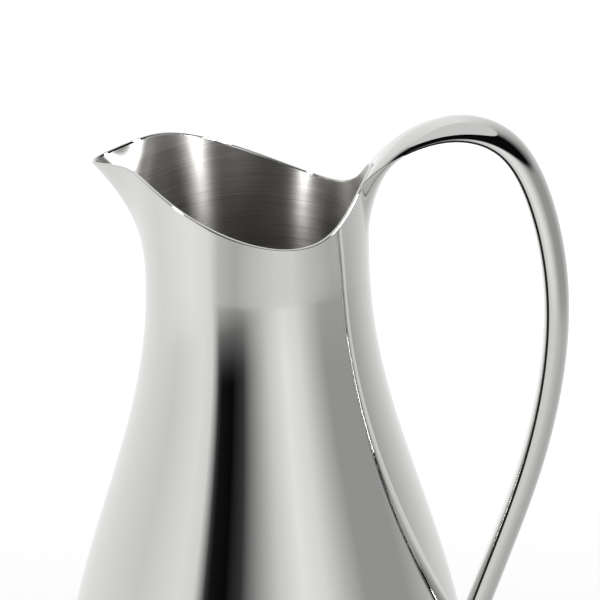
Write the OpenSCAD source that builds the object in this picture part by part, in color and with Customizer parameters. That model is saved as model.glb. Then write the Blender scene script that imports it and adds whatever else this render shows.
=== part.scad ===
// Water pitcher in polished metal. The spout points to -X, the handle to +X, and the XZ plane
// is the plane of symmetry. The origin is the centre of the foot ring, on the table.

/* [Body] */
// Outer radius of the widest part of the body
belly_r = 71.5; // [62:0.5:88]
// Height of the widest part above the table
belly_z = 62; // [50:1:75]
// Outer radius of the narrowest part of the neck
neck_r = 37.4; // [32:0.2:45]
// Height of the narrowest part of the neck
neck_z = 231; // [195:1:280]
// Thickness of the sheet metal of the body
wall = 1.2; // [0.8:0.1:1.6]
// How far the neck leans towards the spout at the height of the rim
lean = 4; // [0:0.2:8]

/* [Rim and spout] */
// Outer radius of the mouth at its sides
mouth_r = 38.8; // [32:0.2:46]
// Height of the rim above the narrowest part of the neck, averaged round the mouth
rim_rise = 26; // [21:0.5:31]
// How much higher the rim runs at the spout than at the sides
rim_slope = 15.5; // [12:0.5:20]
// How far the spout reaches past the mouth's radius
spout_reach = 15.2; // [10:0.5:19]
// Half angle of the spout, seen from above
spout_angle = 16.5; // [14:0.5:20]
// How far the tip of the spout dips below the rim beside it
spout_dip = 8.5; // [4:0.5:10]
// How far the rim climbs to the root of the handle
back_rise = 25; // [20:0.5:30]
// How far the mouth bulges towards the handle
back_reach = 1; // [0:0.25:2.5]

/* [Base] */
// Outer radius of the flat ring that stands on the table
foot_r = 55; // [48:0.5:60]
// Width of that flat ring
foot_w = 5; // [3:0.5:8]
// Height of the seam between body and base
seam_z = 6; // [5:0.5:9]
// Depth of the recess inside the flat ring
recess = 2.5; // [1.5:0.5:4]
// Thickness of the base metal
base_t = 1.5; // [1:0.1:2]

/* [Handle] */
// Height of the arch's centre line above the rim at the handle's root
arch_rise = 15.4; // [11:0.2:22]
// How far the arch's top stands out past the radius of the neck
arch_out = 25.6; // [21:0.2:30]
// How far the handle's centre line stands out past the radius of the belly
handle_out = 24.9; // [20:0.1:32]
// Height above the widest part of the body where the handle's centre line meets it
foot_rise = 34; // [26:1:44]
// Width of the handle where it leaves the rim
root_w = 25; // [20:0.5:28]
// How far the handle's root runs down the back of the neck
tongue = 24; // [16:1:28]
// Width of the handle along its arm
arm_w = 12.6; // [10:0.2:16]
// Thickness of the handle along its arm
arm_t = 8.4; // [6.4:0.2:11]
// Share of the handle's thickness on the hand's side of the seam between its two sheets
seam_share = 0.2; // [0.2:0.05:0.5]
// Thickness of each of the two sheets that the handle is made of
handle_wall = 1; // [0.7:0.1:1.4]

/* [Hidden] */

// Columns of facets round the body, and rows below and above the neck
COLS = 72;
LOW_ROWS = 22;
TOP_ROWS = 12;
// Facet columns across half the width of the handle
HALF = 6;
// Rings of facets on the handle's root and along the rest of it
ROOT_RINGS = 12;
ARM_RINGS = 50;
// A small step for slopes
STEP = 0.01;

// Twofold wave of the rim, which lifts the spout and the back and lowers the sides
RIM_WAVE = 2;
// Half angles of the rim's climb to the handle and of the mouth's bulge towards it
CLIMB_ANGLE = 34;
BULGE_ANGLE = 22;
// Height above the widest part of the body where the neck starts to lean
LEAN_START = 20;

polished = [0.80, 0.81, 0.82];

// ---- Body surface ----

// Angle of the handle round the body, where 0 is the spout
back = 180;
rim_mean_z = neck_z + rim_rise;
lean_from = belly_z + LEAN_START;

// A smooth step from 0 to 1
function ease(u) = (1 - cos(180 * min(max(u, 0), 1))) / 2;

// A hump of height 1 at angle 0 that is w degrees wide and falls off with the given power
function hump(a, w, power) = 1 / (1 + pow(abs(a) / w, power));

// Radius of the belly, the heel below it and the neck above it at height z
function profile_r(z) =
  z < belly_z
    ? foot_r + (belly_r - foot_r) * sqrt(1 - pow((belly_z - z) / belly_z, 2))
    : belly_r - (belly_r - neck_r) * ease((z - belly_z) / (neck_z - belly_z));

// Angle round the body of facet column s: columns lie closer at the spout and at the handle
CROWDING = 14.3;
function column_angle(s) =
  let (a = 360 * s / COLS)
  a - CROWDING * sin(2 * a);

// Height of the rim at angle a, where 0 is the spout and 180 the handle
function rim_z(a) =
  let (q = 180 - abs(a))
  rim_mean_z + rim_slope * cos(a) + RIM_WAVE * cos(2 * a)
    - spout_dip * hump(a, spout_angle, 2) + back_rise * hump(q, CLIMB_ANGLE, 3);

// Shift of the body's centre towards the spout at height z
function shift(z) = lean * pow(max(z - lean_from, 0) / (rim_mean_z - lean_from), 2);

// Radius of the outer surface at angle a and height z
function outer_r(a, z) =
  let (
    q = 180 - abs(a),
    k = max(z - neck_z, 0) / (rim_z(a) - neck_z)
  )
  profile_r(z) + (mouth_r - neck_r) * k * k
    + spout_reach * k * k * pow(hump(a, spout_angle, 2), 1.5)
    + back_reach * pow(k, 3) * hump(q, BULGE_ANGLE, 4);

// A point of the outer surface
function skin(a, z) =
  let (r = outer_r(a, z))
  [-shift(z) - r * cos(a), r * sin(a), z];

function unit(v) = v / norm(v);

function level(v) = [v[0], v[1], 0];

// Outward direction of the surface at angle a and height z
function outward(a, z) =
  let (
    round_step = skin(a + STEP, z) - skin(a - STEP, z),
    up_step = skin(a, z) - skin(a, z - STEP)
  )
  unit(cross(up_step, round_step));

// A point of the inner surface: level with the outer one at the seam, and square to it above
function lining(a, z) =
  let (
    n = outward(a, z),
    flat = level(n)
  )
  skin(a, z) - wall * (z < seam_z + STEP ? flat / (flat * flat) : n);

// Height of facet row i in the column at angle a
function row_z(i, a) =
  i <= LOW_ROWS
    ? seam_z + (neck_z - seam_z) * i / LOW_ROWS
    : neck_z + (rim_z(a) - neck_z) * (i - LOW_ROWS) / TOP_ROWS;

// Signed angle of facet column s, from -180 to 180
function signed(s) =
  let (a = column_angle(s))
  a > 180 ? a - 360 : a;

// ---- Closed skins from a grid of points ----

// Faces of a tube of rings with n points each, wound so that they look outwards
function tube_faces(rings, n) = [
  for (i = [0 : rings - 2], j = [0 : n - 1])
    let (a = i * n + j, b = i * n + (j + 1) % n)
    each [[a, b, a + n], [b, b + n, a + n]]
];

module body_shell() {
  rows = LOW_ROWS + TOP_ROWS;
  outside = [for (i = [0 : rows], s = [0 : COLS - 1]) skin(signed(s), row_z(i, signed(s)))];
  inside = [for (i = [rows : -1 : 0], s = [0 : COLS - 1]) lining(signed(s), row_z(i, signed(s)))];
  count = 2 * (rows + 1);
  // The last ring joins the first one along the seam
  seam = [
    for (j = [0 : COLS - 1])
      let (a = (count - 1) * COLS + j, b = (count - 1) * COLS + (j + 1) % COLS, k = (j + 1) % COLS)
      each [[a, b, j], [b, k, j]]
  ];
  color(polished) polyhedron(
    points = concat(outside, inside),
    faces = concat(tube_faces(count, COLS), seam)
  );
}

// ---- Base ----

// Thickness of the base where it bends up into the heel, as a share of its own
BEND = 1.2;
// Points of the heel's curve, from just above the table up to the seam
HEEL_STEPS = 6;
HEEL = [
  for (i = [1 : HEEL_STEPS])
    let (z = seam_z * pow(i / HEEL_STEPS, 2))
    [profile_r(z), z]
];

// The bottom steps up inside the flat ring, and its rim butts against the body's lower edge
module base_disc() {
  ring_in = foot_r - foot_w;
  step_in = ring_in - recess;
  color(polished) rotate_extrude($fn = 96) polygon(concat(
    [[0, recess], [step_in, recess], [ring_in, 0], [foot_r, 0]],
    HEEL,
    [[norm(level(lining(back, seam_z))), seam_z]],
    [[foot_r + base_t / 3, BEND * base_t], [ring_in + base_t / 2, base_t]],
    [[step_in + base_t / 2, recess + base_t], [0, recess + base_t]]
  ));
}

// ---- Handle ----

root_z = rim_z(back);
root_angle = asin(root_w / 2 / outer_r(back, root_z));
arch_z = root_z + arch_rise;
arch_x = neck_r + arch_out;
handle_x = belly_r + handle_out;
foot_z = belly_z + foot_rise;
foot_x = skin(back, foot_z)[0];

// Height of the handle from foot to arch, and its reach from the arch's top outwards
tall = arch_z - foot_z;
wide = handle_x - arch_x;

// Control points of the handle's centre line, from above the root to inside the body, as shares
// of the handle's own height and of its reach from the neck to the arch and on to the arm
PATH = [
  [arch_x - arch_out * 0.94, arch_z - arch_rise * 0.68],
  [arch_x - arch_out * 0.626, arch_z - arch_rise * 0.26],
  [arch_x, arch_z + arch_rise * 0.16],
  [arch_x + wide * 0.54, arch_z - arch_rise * 0.13],
  [handle_x - wide * 0.15, arch_z - tall * 0.1225],
  [handle_x + wide * 0.036, arch_z - tall * 0.277],
  [handle_x + wide * 0.018, arch_z - tall * 0.447],
  [handle_x - wide * 0.18, foot_z + tall * 0.3636],
  [foot_x + tall * 0.0585, foot_z + tall * 0.181],
  [foot_x, foot_z],
  [foot_x - tall * 0.0585, foot_z - tall * 0.181]
];

// Value of an even cubic spline with control values c, at t from 0 to 1
function spline(c, t) =
  let (
    spans = len(c) - 3,
    i = min(floor(t * spans), spans - 1),
    u = t * spans - i
  )
  (pow(1 - u, 3) * c[i] + (3 * u * u * u - 6 * u * u + 4) * c[i + 1]
    + (-3 * u * u * u + 3 * u * u + 3 * u + 1) * c[i + 2] + u * u * u * c[i + 3]) / 6;

// Half width and half thickness of the handle at the control points: wide and thin at the root,
// then as along the arm
half_root = root_w / 2;
half_w = arm_w / 2;
half_t = arm_t / 2;
ROOT_WIDTHS = [half_root * 0.92, half_root * 0.84, half_root * 0.74, half_w * 1.14, half_w * 1.03];
ROOT_DEPTHS = [half_t * 0.45, half_t * 0.6, half_t * 0.8, half_t * 0.95, half_t];
WIDTHS = [for (i = [0 : len(PATH) - 1]) i < len(ROOT_WIDTHS) ? ROOT_WIDTHS[i] : half_w];
DEPTHS = [for (i = [0 : len(PATH) - 1]) i < len(ROOT_DEPTHS) ? ROOT_DEPTHS[i] : half_t];

// A point of the handle: k runs across it from -HALF to HALF, side is 1 on the face away from the
// hand and -1 on the face towards it, and sheet is 0 on the outside and the sheet's thickness within
function handle_point(t, k, side, sheet) =
  let (
    c = spline(PATH, t),
    d = unit(spline(PATH, min(t + STEP, 1)) - spline(PATH, max(t - STEP, 0))),
    turn = 90 * k / HALF,
    w = spline(WIDTHS, t) - sheet,
    deep = 2 * spline(DEPTHS, t),
    crown = deep * (side > 0 ? 1 - seam_share : seam_share) - sheet,
    h = deep * (seam_share - 0.5) + max(crown, 0.1) * side * cos(turn)
  )
  [c[0] - d[1] * h, w * sin(turn), c[1] + d[0] * h];

// Width of the top sheet's end on the neck, and length of the lower sheet's feathered end
LAND = 1.8;
FEATHER = 5;
// Breadth of the inside of the root as a share of its outside
INNER_SHARE = 0.88;

// Angle and height where the handle's root lies on the neck: its top edge follows the rim, and
// its lower edge is a tongue that runs down the back of the neck
function root_spot(k, side, sheet) =
  let (
    inside = sheet > 0,
    q = root_angle * k / HALF * (inside ? INNER_SHARE : 1),
    a = back - abs(q),
    bow = side > 0 ? 0 : cos(90 * k / HALF),
    drop = inside ? LAND + (tongue - LAND - FEATHER) * bow : tongue * bow
  )
  [q >= 0 ? a : -a, rim_z(a) - drop];

// How strongly the root's curve keeps to the neck's surface before it leaves for the arch
CLING = 0.6;

// Point u of the root's curve, which leaves the neck along its surface and runs into the arch
function root_point(u, k, side, sheet) =
  let (
    spot = root_spot(k, side, sheet),
    p0 = skin(spot[0], spot[1]),
    p1 = handle_point(0, k, side, sheet),
    reach = norm(p1 - p0),
    d0 = unit(skin(spot[0], spot[1]) - skin(spot[0], spot[1] - STEP)) * reach * CLING,
    d1 = unit(handle_point(STEP, k, side, sheet) - p1) * reach
  )
  (2 * u * u * u - 3 * u * u + 1) * p0 + (u * u * u - 2 * u * u + u) * d0
    + (3 * u * u - 2 * u * u * u) * p1 + (u * u * u - u * u) * d1;

// How far a point stands outside the body
function clear_of_body(p) = norm([p[0] + shift(p[2]), p[1]]) - profile_r(p[2]);

// Place along the path where one line of the handle meets the body, found by halving lo to hi n times
function foot_t(k, side, sheet, lo = 0.6, hi = 1, n = 24) =
  let (mid = (lo + hi) / 2)
  n == 0 ? mid
    : clear_of_body(handle_point(mid, k, side, sheet)) > 0
      ? foot_t(k, side, sheet, mid, hi, n - 1)
      : foot_t(k, side, sheet, lo, mid, n - 1);

// Point of ring m along the arm, from the end of the root down to the body
function arm_point(m, k, side, sheet) =
  handle_point(foot_t(k, side, sheet) * m / ARM_RINGS, k, side, sheet);

// One sheet of the handle: a closed skin round the outside and the inside of that half
module handle_sheet(side) {
  n = 4 * HALF + 2;
  root = [
    for (m = [0 : ROOT_RINGS - 1]) each concat(
      [for (k = [-HALF : HALF]) root_point(m / ROOT_RINGS, k, side, 0)],
      [for (k = [HALF : -1 : -HALF]) root_point(m / ROOT_RINGS, k, side, handle_wall)]
    )
  ];
  arm = [
    for (m = [0 : ARM_RINGS]) each concat(
      [for (k = [-HALF : HALF]) arm_point(m, k, side, 0)],
      [for (k = [HALF : -1 : -HALF]) arm_point(m, k, side, handle_wall)]
    )
  ];
  rings = ROOT_RINGS + ARM_RINGS + 1;
  last = (rings - 1) * n;
  ends = [
    for (k = [0 : 2 * HALF - 1])
      let (a = k, b = k + 1, c = n - 2 - k, d = n - 1 - k)
      each [[a, c, b], [a, d, c], [last + a, last + b, last + c], [last + a, last + c, last + d]]
  ];
  faces = concat(tube_faces(rings, n), ends);
  flipped = [for (f = faces) [f[0], f[2], f[1]]];
  polyhedron(points = concat(root, arm), faces = side > 0 ? faces : flipped);
}

module handle_outer_shell() color(polished) handle_sheet(1);

module handle_inner_shell() color(polished) handle_sheet(-1);

body_shell();
base_disc();
handle_outer_shell();
handle_inner_shell();
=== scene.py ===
"""Water pitcher in polished stainless steel: its visible pieces, their finishes and a light studio."""

import math

import bpy
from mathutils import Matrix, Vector


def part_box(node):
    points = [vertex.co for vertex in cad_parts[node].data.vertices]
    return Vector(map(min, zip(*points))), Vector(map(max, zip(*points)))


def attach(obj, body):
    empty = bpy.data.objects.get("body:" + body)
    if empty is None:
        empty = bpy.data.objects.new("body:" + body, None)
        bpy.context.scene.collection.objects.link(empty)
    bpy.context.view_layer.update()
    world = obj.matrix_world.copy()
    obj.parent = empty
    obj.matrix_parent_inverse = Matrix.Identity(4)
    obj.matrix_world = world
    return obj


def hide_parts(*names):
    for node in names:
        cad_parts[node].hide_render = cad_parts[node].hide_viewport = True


bl_info = {
    "name": "Polished Water Pitcher",
    "version": (1, 0, 0),
    "blender": (4, 5, 0),
    "location": "3D View > Sidebar > Pitcher",
    "description": "Builds a polished metal water pitcher round its CAD frame",
    "category": "Object",
}

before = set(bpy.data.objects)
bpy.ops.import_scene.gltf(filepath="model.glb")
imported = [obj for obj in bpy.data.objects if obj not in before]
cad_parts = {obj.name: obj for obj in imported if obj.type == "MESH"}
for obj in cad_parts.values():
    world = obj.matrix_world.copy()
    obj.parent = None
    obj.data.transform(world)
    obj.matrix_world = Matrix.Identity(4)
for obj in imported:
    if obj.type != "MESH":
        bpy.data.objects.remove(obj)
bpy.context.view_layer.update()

# Lengths of the real pitcher, in metres
MM = 0.001
MERGE = 0.002 * MM
BODY_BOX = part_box("body_shell")
BASE_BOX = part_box("base_disc")
NECK_HEIGHT = 231 * MM
# Cosine of the sharpest fold that a dissolved diagonal may have
FLAT = 0.5
# Fold from which an edge counts as sharp
SHARP = math.radians(60)
# A face of the body belongs to its lining if it faces the axis more than this cosine
INWARDS = -0.25
# Segments round a bevelled edge
BEVEL_STEPS = 3
# Distance from the pitcher's axis where the dark seam line of painted shade begins: nearer, the
# handle's root is polished over
SEAM_START = 47 * MM
# Distance within which the inner and the outer line of the handle's joint lie side by side
SHEET_REACH = 1.6 * MM


# ---- Settings ----


class PitcherShape(bpy.types.PropertyGroup):
    """Sizes of the edges and of the base"""

    rim_round: bpy.props.FloatProperty(
        name="Rim Rounding",
        description="Radius of the rounded edges of the rim",
        default=0.5 * MM,
        min=0.1 * MM,
        max=0.58 * MM,
        unit="LENGTH",
    )
    smoothness: bpy.props.IntProperty(
        name="Smoothness",
        description="Subdivision level of the body and the handle",
        default=2,
        min=0,
        max=2,
    )
    # The seam's dark line is painted shade of the groove between the handle's sheets
    seam_width: bpy.props.FloatProperty(
        name="Seam Width",
        description="Width of the line of solder along each side of the handle",
        default=0.7 * MM,
        min=0.2 * MM,
        max=1.2 * MM,
        unit="LENGTH",
    )
    foot_radius: bpy.props.FloatProperty(
        name="Foot Radius",
        description="Outer radius of the flat ring that stands on the table",
        default=55 * MM,
        unit="LENGTH",
    )
    foot_width: bpy.props.FloatProperty(
        name="Foot Width",
        description="Width of the flat ring",
        default=5 * MM,
        unit="LENGTH",
    )
    recess: bpy.props.FloatProperty(
        name="Recess",
        description="Depth of the recess inside the flat ring",
        default=2.5 * MM,
        unit="LENGTH",
    )
    base_sheet: bpy.props.FloatProperty(
        name="Base Sheet",
        description="Thickness of the base metal",
        default=1.5 * MM,
        unit="LENGTH",
    )
    belly_height: bpy.props.FloatProperty(
        name="Belly Height",
        description="Height of the widest part of the body",
        default=62 * MM,
        unit="LENGTH",
    )


class PitcherFinish(bpy.types.PropertyGroup):
    """Colours and surface of the metal"""

    buffed_colour: bpy.props.StringProperty(
        name="Buffed Steel",
        description="sRGB colour of the mirror-buffed steel",
        default="#E6E6E4",
    )
    satin_colour: bpy.props.StringProperty(
        name="Satin Steel",
        description="sRGB colour of the brushed lining",
        default="#C6C4C1",
    )
    groove_colour: bpy.props.StringProperty(
        name="Brush Grooves",
        description="sRGB colour of the lining in the depth of the brush marks",
        default="#A6A4A2",
    )
    # Painted shade: the dark seam colour stands in for the shadow in the groove between the handle's
    # sheets
    seam_shade_colour: bpy.props.StringProperty(
        name="Painted Seam Shade",
        description="sRGB colour of the solder in the handle's seam",
        default="#34322F",
    )
    turned_colour: bpy.props.StringProperty(
        name="Turned Steel",
        description="sRGB colour of the turned base",
        default="#DAD9D6",
    )
    brush_spacing: bpy.props.FloatProperty(
        name="Brush Spacing",
        description="Distance between the brush marks inside the pitcher",
        default=0.5 * MM,
        unit="LENGTH",
    )


class PitcherStage(bpy.types.PropertyGroup):
    """Camera and studio"""

    azimuth: bpy.props.FloatProperty(
        name="Azimuth",
        description="Turn of the camera round the pitcher",
        default=math.radians(8),
        unit="ROTATION",
    )
    elevation: bpy.props.FloatProperty(
        name="Elevation",
        description="Angle of the camera above the horizon",
        default=math.radians(22.8),
        unit="ROTATION",
    )
    distance: bpy.props.FloatProperty(
        name="Distance",
        description="Distance of the camera from the point it looks at",
        default=1.2,
        unit="LENGTH",
    )
    aim: bpy.props.FloatVectorProperty(
        name="Aim",
        description="Point the camera looks at",
        default=(11.4 * MM, 0, 220.3 * MM),
        subtype="TRANSLATION",
        unit="LENGTH",
    )
    lens: bpy.props.FloatProperty(
        name="Lens",
        description="Focal length of the camera in millimetres",
        default=216,
    )


# ---- Metal finishes ----

# How much a brushed surface stretches its highlights, and the turn that stretches them across the marks
BRUSHED = 0.95
QUARTER_TURN = 0.25
# Noise values where its spread over a surface begins and ends
NOISE_LOW = 0.3
NOISE_HIGH = 0.7


def linear(hex_colour):
    """Linear colour of an sRGB hex value such as #E6E6E4."""
    channels = [int(hex_colour[i : i + 2], 16) / 255 for i in (1, 3, 5)]
    return (*[c / 12.92 if c <= 0.04045 else ((c + 0.055) / 1.055) ** 2.4 for c in channels], 1)


def add_node(tree, kind, options=(), values=(), links=()):
    """Adds a node with its options and input values, and joins its inputs to (node, output) pairs."""
    made = tree.nodes.new(kind)
    for name, value in dict(options).items():
        setattr(made, name, value)
    for name, value in dict(values).items():
        made.inputs[name].default_value = value
    for name, (source, output) in dict(links).items():
        tree.links.new(source.outputs[output], made.inputs[name])
    return made


def new_metal(name, colour, anisotropy=0.0):
    """A metal with an empty graph apart from its shader and the Object coordinates."""
    metal = bpy.data.materials.new(name)
    metal.use_nodes = True
    tree = metal.node_tree
    tree.nodes.clear()
    place = add_node(tree, "ShaderNodeTexCoord")
    shader = add_node(
        tree,
        "ShaderNodeBsdfPrincipled",
        values={
            "Base Color": linear(colour),
            "Metallic": 1.0,
            "Anisotropic": anisotropy,
            "Anisotropic Rotation": QUARTER_TURN,
        },
    )
    add_node(tree, "ShaderNodeOutputMaterial", links={"Surface": (shader, "BSDF")})
    return metal, tree, place, shader


def streaks(tree, place, stretch, detail):
    """Noise on Object coordinates, stretched by a scale for each axis."""
    mapped = add_node(
        tree, "ShaderNodeMapping", values={"Scale": stretch}, links={"Vector": (place, "Object")}
    )
    return add_node(
        tree,
        "ShaderNodeTexNoise",
        values={"Scale": 1.0, "Detail": detail, "Roughness": 0.6},
        links={"Vector": (mapped, "Vector")},
    )


def spread(tree, noise, low, high):
    """Turns a noise value into a roughness between low and high."""
    return add_node(
        tree,
        "ShaderNodeMapRange",
        values={"From Min": NOISE_LOW, "From Max": NOISE_HIGH, "To Min": low, "To Max": high},
        links={"Value": (noise, "Fac")},
    )


def buffed_steel(finish):
    """Stainless steel, spun and then mirror-buffed: crisp reflections with faint hazy patches."""
    metal, tree, place, shader = new_metal("buffed_stainless_steel", finish.buffed_colour)
    # Haze that the buffing wheel leaves, in patches 25 mm wide
    haze = streaks(tree, place, (1 / (25 * MM),) * 3, 2)
    tree.links.new(spread(tree, haze, 0.025, 0.05).outputs["Result"], shader.inputs["Roughness"])
    # Spun sheet is never quite even: waves 40 mm long and a few hundredths of a millimetre high
    waves = streaks(tree, place, (1 / (40 * MM), 1 / (40 * MM), 1 / (60 * MM)), 0)
    bump = add_node(
        tree,
        "ShaderNodeBump",
        values={"Strength": 0.3, "Distance": 0.1 * MM},
        links={"Height": (waves, "Fac")},
    )
    tree.links.new(bump.outputs["Normal"], shader.inputs["Normal"])
    return metal


def satin_steel(finish):
    """Stainless steel brushed round the inside: it spreads reflections up and down in soft bands."""
    metal, tree, place, shader = new_metal("satin_stainless_lining", finish.satin_colour, BRUSHED)
    # Brush marks run round the axis, so they are long round it and narrow up it
    along = 1 / (30 * MM)
    marks = streaks(tree, place, (along, along, 1 / finish.brush_spacing), 3)
    tree.links.new(spread(tree, marks, 0.32, 0.4).outputs["Result"], shader.inputs["Roughness"])
    tint = add_node(
        tree,
        "ShaderNodeMix",
        options={"data_type": "RGBA"},
        values={6: linear(finish.groove_colour), 7: linear(finish.satin_colour)},
        links={0: (spread(tree, marks, 0.0, 1.0), "Result")},
    )
    tree.links.new(tint.outputs[2], shader.inputs["Base Color"])
    bump = add_node(
        tree,
        "ShaderNodeBump",
        values={"Strength": 0.3, "Distance": 0.02 * MM},
        links={"Height": (marks, "Fac")},
    )
    tree.links.new(bump.outputs["Normal"], shader.inputs["Normal"])
    # The grain's direction is level and square to the line from the axis
    grain = add_node(
        tree,
        "ShaderNodeVectorMath",
        options={"operation": "CROSS_PRODUCT"},
        values={0: (0, 0, 1)},
        links={1: (place, "Object")},
    )
    direction = add_node(
        tree,
        "ShaderNodeVectorMath",
        options={"operation": "NORMALIZE"},
        links={0: (grain, "Vector")},
    )
    tree.links.new(direction.outputs["Vector"], shader.inputs["Tangent"])
    return metal


def painted_seam_shade(finish):
    """Dark metal for the strip along the handle's seam: painted shade of the groove between the sheets,
    with a slightly grainy shine.
    """
    metal, tree, place, shader = new_metal("soldered_seam", finish.seam_shade_colour)
    # Grains in its roughness, half a millimetre across
    grain = streaks(tree, place, (1 / (0.5 * MM),) * 3, 2)
    tree.links.new(spread(tree, grain, 0.45, 0.6).outputs["Result"], shader.inputs["Roughness"])
    return metal


def turned_steel(finish):
    """Stainless steel base, pressed and turned: fine rings round its centre and a duller shine."""
    metal, tree, place, shader = new_metal("turned_stainless_base", finish.turned_colour)
    # Turning marks 0.8 mm apart, drawn coarser than the real ones so that they show
    rings = add_node(
        tree,
        "ShaderNodeTexWave",
        options={"wave_type": "RINGS", "rings_direction": "Z"},
        values={"Scale": 1 / (0.8 * MM * 3.2), "Distortion": 0.4, "Detail": 2.0},
        links={"Vector": (place, "Object")},
    )
    tree.links.new(spread(tree, rings, 0.12, 0.2).outputs["Result"], shader.inputs["Roughness"])
    bump = add_node(
        tree,
        "ShaderNodeBump",
        values={"Strength": 0.25, "Distance": 0.02 * MM},
        links={"Height": (rings, "Fac")},
    )
    tree.links.new(bump.outputs["Normal"], shader.inputs["Normal"])
    return metal


# ---- Tools for the pieces ----


def clear_selection():
    """Leaves edit mode and deselects every object."""
    if bpy.context.mode != "OBJECT":
        bpy.ops.object.mode_set(mode="OBJECT")
    bpy.ops.object.select_all(action="DESELECT")


def edit(piece, select="FACE"):
    """Selects one piece and opens it in edit mode with nothing selected on it."""
    clear_selection()
    piece.select_set(True)
    bpy.context.view_layer.objects.active = piece
    bpy.ops.object.mode_set(mode="EDIT")
    bpy.ops.mesh.select_mode(type=select)
    bpy.ops.mesh.select_all(action="DESELECT")


def pick(piece, kind, wanted):
    """Selects the vertices, edges or polygons of an edited piece whose numbers are wanted."""
    bpy.ops.object.mode_set(mode="OBJECT")
    for item in getattr(piece.data, kind):
        item.select = item.index in wanted
    bpy.ops.object.mode_set(mode="EDIT")


def merged_copy(node, name):
    """A copy of a CAD node as one welded surface of triangles."""
    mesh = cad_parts[node].data.copy()
    mesh.materials.clear()
    piece = bpy.data.objects.new(name, mesh)
    bpy.context.collection.objects.link(piece)
    edit(piece)
    bpy.ops.mesh.select_all(action="SELECT")
    bpy.ops.mesh.customdata_custom_splitnormals_clear()
    bpy.ops.mesh.remove_doubles(threshold=MERGE)
    clear_selection()
    return piece


def layers_from(mesh, start):
    """For each vertex, the number of edges between it and the nearest vertex of the start line."""
    near = [[] for _ in mesh.vertices]
    for edge in mesh.edges:
        a, b = edge.vertices
        near[a].append(b)
        near[b].append(a)
    layer = {v: 0 for v in start}
    front = list(start)
    while front:
        following = []
        for v in front:
            for w in near[v]:
                if w not in layer:
                    layer[w] = layer[v] + 1
                    following.append(w)
        front = following
    return layer


def square_up(piece, start, follow):
    """Dissolves the diagonals of a gridded surface, so that its faces have four sides. Each triangle
    has one edge along a grid line: its diagonal is the edge after that one, or the one before."""
    mesh = piece.data
    layer = layers_from(mesh, start)
    diagonals = set()
    sides = {}
    for face in mesh.polygons:
        corners = list(face.vertices)
        for pair in face.edge_keys:
            sides.setdefault(frozenset(pair), []).append(face.normal)
        along = [i for i in range(3) if layer[corners[i]] == layer[corners[(i + 1) % 3]]]
        if len(along) == 1:
            i = along[0] + (1 if follow else 2)
            diagonals.add(frozenset((corners[i % 3], corners[(i + 1) % 3])))
    flat = {
        pair
        for pair in diagonals
        if len(sides[pair]) == 2 and sides[pair][0].dot(sides[pair][1]) > FLAT
    }
    wanted = {e.index for e in mesh.edges if frozenset(e.vertices) in flat}
    edit(piece, "EDGE")
    pick(piece, "edges", wanted)
    bpy.ops.mesh.dissolve_edges(use_verts=False)
    clear_selection()


def sharp_edges(piece, angle, keep):
    """Selects the edges of an edited piece that are sharper than an angle and that keep() allows."""
    bpy.ops.mesh.select_all(action="DESELECT")
    bpy.ops.mesh.select_mode(type="EDGE")
    bpy.ops.mesh.edges_select_sharp(sharpness=angle)
    bpy.ops.object.mode_set(mode="OBJECT")
    points = piece.data.vertices
    for edge in piece.data.edges:
        middle = (points[edge.vertices[0]].co + points[edge.vertices[1]].co) / 2
        if edge.select and not keep(middle):
            edge.select = False
    bpy.ops.object.mode_set(mode="EDIT")


def smooth(piece, level):
    """Adds and applies a Subdivision Surface and shades the piece smooth."""
    clear_selection()
    piece.select_set(True)
    bpy.context.view_layer.objects.active = piece
    bpy.ops.object.shade_smooth()
    if level:
        rounder = piece.modifiers.new("Smoothing", "SUBSURF")
        rounder.levels = level
        rounder.render_levels = level
        bpy.ops.object.modifier_apply(modifier=rounder.name)
    clear_selection()


def check_size(piece, limit=200_000):
    """Raises an error if a piece has more triangles than the limit."""
    count = sum(len(face.vertices) - 2 for face in piece.data.polygons)
    print(piece.name, "triangles:", count)
    if count > limit:
        raise RuntimeError(f"{piece.name} has {count} triangles")


# ---- Pieces ----


class PITCHER_OT_body(bpy.types.Operator):
    """Builds the body: mirror-buffed outside, brushed inside, with a rounded rim"""

    bl_idname = "pitcher.body"
    bl_label = "Body"

    def execute(self, context):
        shape = context.scene.pitcher_shape
        body = merged_copy("body_shell", "pitcher_body")
        mesh = body.data
        # The ring of the outer skin at the seam with the base
        seam = BODY_BOX[0].z + MERGE
        radii = {v.index: math.hypot(v.co.x, v.co.y) for v in mesh.vertices if v.co.z < seam}
        middle = (max(radii.values()) + min(radii.values())) / 2
        square_up(body, [v for v, r in radii.items() if r > middle], False)
        mesh.materials.append(buffed_steel(context.scene.pitcher_finish))
        mesh.materials.append(satin_steel(context.scene.pitcher_finish))
        for face in mesh.polygons:
            outwards = Vector((face.center.x, face.center.y, 0)).normalized()
            face.material_index = 1 if face.normal.dot(outwards) < INWARDS else 0
        edit(body, "EDGE")
        sharp_edges(body, SHARP, lambda p: p.z > NECK_HEIGHT)
        bpy.ops.mesh.bevel(
            offset=shape.rim_round, segments=BEVEL_STEPS, profile=0.5, material=0
        )
        sharp_edges(body, SHARP, lambda p: p.z < NECK_HEIGHT)
        bpy.ops.transform.edge_crease(value=1)
        smooth(body, shape.smoothness)
        check_size(body)
        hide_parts("body_shell")
        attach(body, "root")
        return {"FINISHED"}


# Rows of the heel's curve, sides of the base, and radius of the small ring that it grows from
HEEL_ROWS = 6
BASE_SIDES = 144
CENTRE_RING = 6 * MM
# Thickness of the base where it bends up into the heel, as a share of its own
BEND = 1.2
# Rounding of the foot ring's edges, and the folds that are rounded or shaded as edges
FOOT_ROUND = 0.3 * MM
FOOT_SHARP = math.radians(40)
BASE_SMOOTH = math.radians(35)


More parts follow.
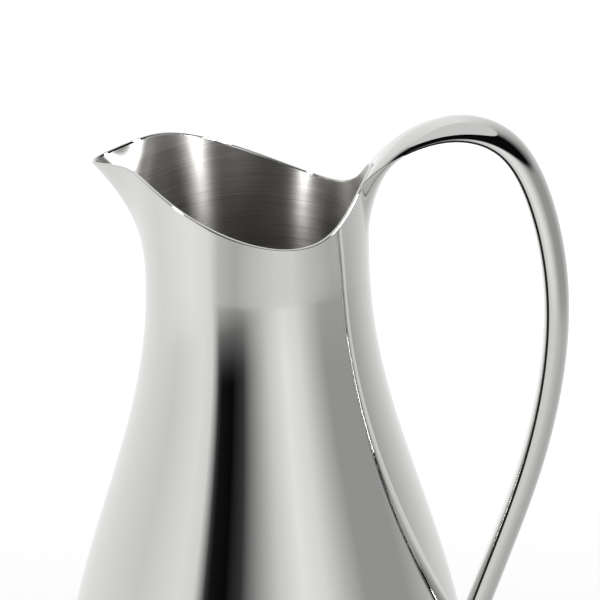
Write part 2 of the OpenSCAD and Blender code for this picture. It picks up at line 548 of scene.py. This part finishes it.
class PITCHER_OT_base(bpy.types.Operator):
    """Builds the base: a turned disc with a flat foot ring, a shallow recess and the heel's curve"""

    bl_idname = "pitcher.base"
    bl_label = "Base"

    def execute(self, context):
        shape = context.scene.pitcher_shape
        belly = BODY_BOX[1].y
        height = BASE_BOX[1].z
        ring_in = shape.foot_radius - shape.foot_width
        step_in = ring_in - shape.recess
        sheet = shape.base_sheet
        heel = []
        for i in range(HEEL_ROWS, 0, -1):
            z = height * (i / HEEL_ROWS) ** 2
            rise = math.sqrt(1 - ((shape.belly_height - z) / shape.belly_height) ** 2)
            heel.append((shape.foot_radius + (belly - shape.foot_radius) * rise, z))
        seam_in = min(
            math.hypot(v.co.x, v.co.y)
            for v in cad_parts["body_shell"].data.vertices
            if v.co.z < BODY_BOX[0].z + MERGE
        )
        inside = [
            (step_in + sheet / 2, shape.recess + sheet),
            (ring_in + sheet / 2, sheet),
            (shape.foot_radius + sheet / 3, BEND * sheet),
            (seam_in, height),
        ]
        outside = [*heel, (shape.foot_radius, 0), (ring_in, 0), (step_in, shape.recess)]
        # A small ring round the axis grows outwards, over the rim and back below
        bpy.ops.mesh.primitive_circle_add(
            vertices=BASE_SIDES,
            radius=CENTRE_RING,
            fill_type="NGON",
            location=(0, 0, shape.recess + sheet),
        )
        base = context.object
        base.name = "pitcher_base"
        radius, level = CENTRE_RING, shape.recess + sheet
        for r, z in [*inside, *outside, (CENTRE_RING, shape.recess)]:
            if context.mode == "OBJECT":
                bpy.ops.object.mode_set(mode="EDIT")
            bpy.ops.mesh.extrude_edges_move(TRANSFORM_OT_translate={"value": (0, 0, z - level)})
            bpy.ops.transform.resize(value=(r / radius, r / radius, 1))
            radius, level = r, z
        bpy.ops.mesh.edge_face_add()
        bpy.ops.mesh.select_all(action="SELECT")
        bpy.ops.mesh.normals_make_consistent(inside=False)
        sharp_edges(base, FOOT_SHARP, lambda p: p.z < height / 2)
        bpy.ops.mesh.bevel(offset=FOOT_ROUND, segments=BEVEL_STEPS, profile=0.5)
        clear_selection()
        base.select_set(True)
        context.view_layer.objects.active = base
        bpy.ops.object.transform_apply(location=True, rotation=True, scale=True)
        bpy.ops.object.shade_smooth_by_angle(angle=BASE_SMOOTH)
        base.data.materials.append(buffed_steel(context.scene.pitcher_finish))
        base.data.materials.append(turned_steel(context.scene.pitcher_finish))
        for face in base.data.polygons:
            face.material_index = 0 if face.center.to_2d().length > shape.foot_radius else 1
        check_size(base)
        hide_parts("base_disc")
        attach(base, "root")
        return {"FINISHED"}


def handle_breadth(points, wanted):
    """Tells for each wanted vertex whether none close by lies farther from the middle plane."""
    outside = {}
    for v in wanted:
        near = [w for w in wanted if (points[w].co - points[v].co).length < SHEET_REACH]
        outside[v] = all(abs(points[w].co.y) <= abs(points[v].co.y) + MERGE for w in near)
    return outside


class PITCHER_OT_handle(bpy.types.Operator):
    """Builds the handle: two pressed sheets soldered into one smooth hollow loop"""

    bl_idname = "pitcher.handle"
    bl_label = "Handle"

    def execute(self, context):
        shape = context.scene.pitcher_shape
        outer = merged_copy("handle_outer_shell", "pitcher_handle")
        inner = merged_copy("handle_inner_shell", "handle_inner_half")
        joint = {self.key(v) for v in outer.data.vertices} & {self.key(v) for v in inner.data.vertices}
        for half, follow in ((outer, True), (inner, False)):
            start = [v.index for v in half.data.vertices if self.key(v) in joint]
            square_up(half, start, follow)
        clear_selection()
        inner.select_set(True)
        outer.select_set(True)
        context.view_layer.objects.active = outer
        bpy.ops.object.join()
        edit(outer)
        # The faces where the sheets meet lie inside the metal
        points = outer.data.vertices
        hidden = {
            f.index
            for f in outer.data.polygons
            if all(self.key(points[v]) in joint for v in f.vertices)
        }
        pick(outer, "polygons", hidden)
        bpy.ops.mesh.delete(type="FACE")
        bpy.ops.mesh.select_all(action="SELECT")
        bpy.ops.mesh.remove_doubles(threshold=MERGE)
        sharp_edges(outer, SHARP, lambda p: True)
        bpy.ops.transform.edge_crease(value=1)
        outer.data.materials.append(buffed_steel(context.scene.pitcher_finish))
        # Second slot: the dark strip of painted seam shade
        outer.data.materials.append(painted_seam_shade(context.scene.pitcher_finish))
        self.paint_seam_strip(outer, joint, shape.seam_width)
        smooth(outer, shape.smoothness)
        check_size(outer)
        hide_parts("handle_outer_shell", "handle_inner_shell")
        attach(outer, "root")
        return {"FINISHED"}

    def paint_seam_strip(self, handle, joint, width):
        """Bevels a narrow strip along the outside of the joint between the sheets and gives it the dark
        seam material: painted shade of the seam's groove.
        """
        mesh = handle.data
        clear_selection()
        points = mesh.vertices
        along = [e for e in mesh.edges if all(self.key(points[v]) in joint for v in e.vertices)]
        rings = {}
        for edge in along:
            for v in edge.vertices:
                rings.setdefault(v, []).append(edge.index)
        # The outside of the joint is the line farther from the middle plane at each place
        middle = handle_breadth(points, rings)
        seam = {
            e.index
            for e in along
            if all(middle[v] and points[v].co.x > SEAM_START for v in e.vertices)
        }
        edit(handle, "EDGE")
        pick(handle, "edges", seam)
        bpy.ops.mesh.bevel(offset=width / 2, segments=2, profile=0.5, material=1)
        clear_selection()

    def key(self, vertex):
        """Place of a vertex, rounded so that the same place on two sheets is the same key."""
        return tuple(round(c / (10 * MERGE)) for c in vertex.co)


# ---- Studio ----


TENT_RADIUS = 0.7
TENT_HEIGHT = 1.2
TENT_SIDES = 128
# Gap in the skirt round the pitcher, as a share of the tent's radius
SKIRT_GAP = 0.14
# Where the skirt fades into the wall and the wall into the top, as distances past the wall's foot
WALL_FADE = (-0.18, 0.11)
TOP_FADE = (0.36, 0.46)
AIR_STRENGTH = 0.7
BACK_ENERGY = 17
# The two strip lights that draw bright bands in the lining, by degrees from the camera's direction
STRIPS = (("right_strip", 62), ("left_strip", -53))
STRIP_ENERGY = 4
STRIP_DISTANCE = 0.62
STRIP_HEIGHT = 0.58
STRIP_SIZE = (0.08, 0.35)

# Brightness of the tent's wall, by degrees from the camera's direction, which grow to its right
TENT_WALL = (
    (-180, "#FFFFFF"),
    (-130, "#ECECEC"),
    (-85, "#DADADA"),
    (-55, "#EFEFEF"),
    (-45, "#E6E6E6"),
    (-38, "#3C3C3C"),
    (-35, "#141414"),
    (-25, "#0A0A0A"),
    (-15, "#3A3A3A"),
    (-4, "#A0A0A0"),
    (9, "#DADADA"),
    (24, "#F8F8F8"),
    (38, "#EAEAEA"),
    (52, "#C2C2C2"),
    (64, "#A0A0A0"),
    (95, "#A0A0A0"),
    (125, "#CCCCCC"),
    (180, "#FFFFFF"),
)


# The same at the floor, where the paper throws light back
TENT_FOOT = (
    (-180, "#FFFFFF"),
    (-150, "#F3F3F3"),
    (-110, "#E8E8E8"),
    (-67, "#F6F6F6"),
    (-48, "#ECECEC"),
    (-38, "#C6C6C6"),
    (-22, "#B6B6B6"),
    (-6, "#CACACA"),
    (18, "#DEDEDE"),
    (36, "#E0E0E0"),
    (54, "#CCCCCC"),
    (82, "#B8B8B8"),
    (108, "#C2C2C2"),
    (140, "#E0E0E0"),
    (180, "#FFFFFF"),
)
# The same above the camera, where the tent opens on a dark room
TENT_TOP = (
    (-180, "#F4F4F4"),
    (-110, "#E0E0E0"),
    (-80, "#A0A0A0"),
    (-60, "#0C0C0C"),
    (80, "#0C0C0C"),
    (115, "#B0B0B0"),
    (180, "#F4F4F4"),
)


def tent(radius, height, front):
    """A round wall of cloth lit from outside, with its skirt on the floor and a dark gap where the
    camera looks in. The camera looks through it, so that only its reflection shows."""
    skirt = radius * SKIRT_GAP
    clear_selection()
    bpy.ops.mesh.primitive_circle_add(vertices=TENT_SIDES, radius=skirt, location=(0, 0, 2 * MM))
    wall = bpy.context.object
    wall.name = "tent_wall"
    bpy.ops.object.transform_apply(location=True)
    bpy.ops.object.mode_set(mode="EDIT")
    bpy.ops.mesh.extrude_edges_move()
    bpy.ops.transform.resize(value=(radius / skirt, radius / skirt, 1))
    bpy.ops.mesh.extrude_edges_move(TRANSFORM_OT_translate={"value": (0, 0, height)})
    clear_selection()
    cloth = bpy.data.materials.new("lit_tent_cloth")
    cloth.use_nodes = True
    tree = cloth.node_tree
    tree.nodes.clear()
    place = add_node(tree, "ShaderNodeTexCoord")
    turned = add_node(
        tree,
        "ShaderNodeMapping",
        values={"Rotation": (0, 0, math.pi / 2 - front)},
        links={"Vector": (place, "Object")},
    )
    around = add_node(
        tree,
        "ShaderNodeTexGradient",
        options={"gradient_type": "RADIAL"},
        links={"Vector": (turned, "Vector")},
    )
    split = add_node(tree, "ShaderNodeSeparateXYZ", links={"Vector": (place, "Object")})
    flat = add_node(
        tree,
        "ShaderNodeCombineXYZ",
        links={"X": (split, "X"), "Y": (split, "Y")},
    )
    out = add_node(
        tree,
        "ShaderNodeVectorMath",
        options={"operation": "LENGTH"},
        links={0: (flat, "Vector")},
    )
    path = add_node(
        tree,
        "ShaderNodeMath",
        options={"operation": "ADD"},
        links={0: (out, "Value"), 1: (split, "Z")},
    )
    shade = None
    # Each band blends into the next one between two distances, out along the floor and up the wall
    bands = (
        (TENT_FOOT, 0, 0),
        (TENT_WALL, radius + WALL_FADE[0], radius + WALL_FADE[1]),
        (TENT_TOP, radius + TOP_FADE[0], radius + TOP_FADE[1]),
    )
    for band, low, high in bands:
        ramp = add_node(tree, "ShaderNodeValToRGB", links={"Fac": (around, "Fac")})
        stops = ramp.color_ramp.elements
        while len(stops) < len(band):
            stops.new(0.5)
        for stop, (degrees, colour) in zip(stops, band):
            stop.position = 0.5 + degrees / 360
            stop.color = linear(colour)
        if shade is None:
            shade = (ramp, "Color")
            continue
        rise = add_node(
            tree,
            "ShaderNodeMapRange",
            options={"interpolation_type": "SMOOTHSTEP"},
            values={"From Min": low, "From Max": high},
            links={"Value": (path, "Value")},
        )
        blend = add_node(
            tree,
            "ShaderNodeMix",
            options={"data_type": "RGBA"},
            links={0: (rise, "Result"), 6: shade, 7: (ramp, "Color")},
        )
        shade = (blend, 2)
    shader = add_node(tree, "ShaderNodeEmission", links={"Color": shade})
    add_node(tree, "ShaderNodeOutputMaterial", links={"Surface": (shader, "Emission")})
    wall.data.materials.append(cloth)
    wall.visible_camera = False
    wall.visible_diffuse = False
    wall.visible_shadow = False


def soft_light(name, place, aim, size, energy):
    """A rectangular softbox that points at aim and that the camera looks through."""
    bpy.ops.object.light_add(type="AREA", location=place)
    light = bpy.context.object
    light.name = name
    light.data.shape = "RECTANGLE"
    light.data.size, light.data.size_y = size
    light.data.energy = energy
    light.rotation_euler = (light.location - aim).to_track_quat("Z", "Y").to_euler()
    light.visible_camera = False
    return light


def shine_only_on(light, piece):
    """Flags the light off all but one piece, as a gobo in front of it does in a studio."""
    lit = bpy.data.collections.new(light.name + "_reach")
    lit.objects.link(piece)
    light.light_linking.receiver_collection = lit


class PITCHER_OT_stage(bpy.types.Operator):
    """Builds the pale floor, the tent and lights round the pitcher, and the camera"""

    bl_idname = "pitcher.stage"
    bl_label = "Stage"

    def execute(self, context):
        stage = context.scene.pitcher_stage
        aim = Vector(stage.aim)
        clear_selection()
        bpy.ops.mesh.primitive_plane_add(size=16)
        floor = context.object
        floor.name = "studio_floor"
        paper = bpy.data.materials.new("pale_paper_floor")
        paper.use_nodes = True
        shader = paper.node_tree.nodes["Principled BSDF"]
        shader.inputs["Base Color"].default_value = linear("#F7F7F7")
        shader.inputs["Roughness"].default_value = 0.9
        shader.inputs["Specular IOR Level"].default_value = 0.0
        floor.data.materials.append(paper)

        tent(TENT_RADIUS, TENT_HEIGHT, stage.azimuth)
        world = bpy.data.worlds.new("studio_air")
        world.use_nodes = True
        backdrop = world.node_tree.nodes["Background"]
        backdrop.inputs["Color"].default_value = linear("#FFFFFF")
        backdrop.inputs["Strength"].default_value = AIR_STRENGTH
        context.scene.world = world
        back = soft_light(
            "back_softbox", (-0.1, 1.3, 1.3), Vector((0.1, 0.7, 0)), (2.0, 1.0), BACK_ENERGY
        )
        shine_only_on(back, floor)
        for name, side in STRIPS:
            turn = stage.azimuth + math.radians(side)
            away = Vector((math.sin(turn), -math.cos(turn), 0))
            place = away * STRIP_DISTANCE + Vector((0, 0, STRIP_HEIGHT))
            strip = soft_light(name, place, aim, STRIP_SIZE, STRIP_ENERGY)
            shine_only_on(strip, bpy.data.objects["pitcher_body"])

        lens = bpy.data.cameras.new("camera")
        camera = bpy.data.objects.new("camera", lens)
        context.collection.objects.link(camera)
        away = Vector(
            (
                math.sin(stage.azimuth) * math.cos(stage.elevation),
                -math.cos(stage.azimuth) * math.cos(stage.elevation),
                math.sin(stage.elevation),
            )
        )
        camera.location = aim + away * stage.distance
        camera.rotation_euler = away.to_track_quat("Z", "Y").to_euler()
        lens.lens = stage.lens
        lens.sensor_width = 36
        lens.clip_start = 0.05
        lens.clip_end = 50
        context.scene.camera = camera
        context.scene.view_settings.view_transform = "Standard"
        return {"FINISHED"}


class PITCHER_PT_panel(bpy.types.Panel):
    """Buttons for the pitcher's pieces and its settings"""

    bl_idname = "PITCHER_PT_panel"
    bl_label = "Water Pitcher"
    bl_space_type = "VIEW_3D"
    bl_region_type = "UI"
    bl_category = "Pitcher"

    def draw(self, context):
        for operator in OPERATORS:
            self.layout.operator(operator.bl_idname)
        for group in ("pitcher_shape", "pitcher_finish", "pitcher_stage"):
            box = self.layout.box()
            settings = getattr(context.scene, group)
            for name in settings.__annotations__:
                box.prop(settings, name)


OPERATORS = (PITCHER_OT_body, PITCHER_OT_base, PITCHER_OT_handle, PITCHER_OT_stage)
GROUPS = {
    "pitcher_shape": PitcherShape,
    "pitcher_finish": PitcherFinish,
    "pitcher_stage": PitcherStage,
}


def register():
    for name, group in GROUPS.items():
        bpy.utils.register_class(group)
        setattr(bpy.types.Scene, name, bpy.props.PointerProperty(type=group))
    for made in (*OPERATORS, PITCHER_PT_panel):
        bpy.utils.register_class(made)


def unregister():
    for made in reversed((*OPERATORS, PITCHER_PT_panel)):
        bpy.utils.unregister_class(made)
    for name, group in reversed(GROUPS.items()):
        delattr(bpy.types.Scene, name)
        bpy.utils.unregister_class(group)


def main():
    register()
    bpy.ops.pitcher.body()
    bpy.ops.pitcher.base()
    bpy.ops.pitcher.handle()
    bpy.ops.pitcher.stage()
    clear_selection()


if __name__ == "__main__":
    main()
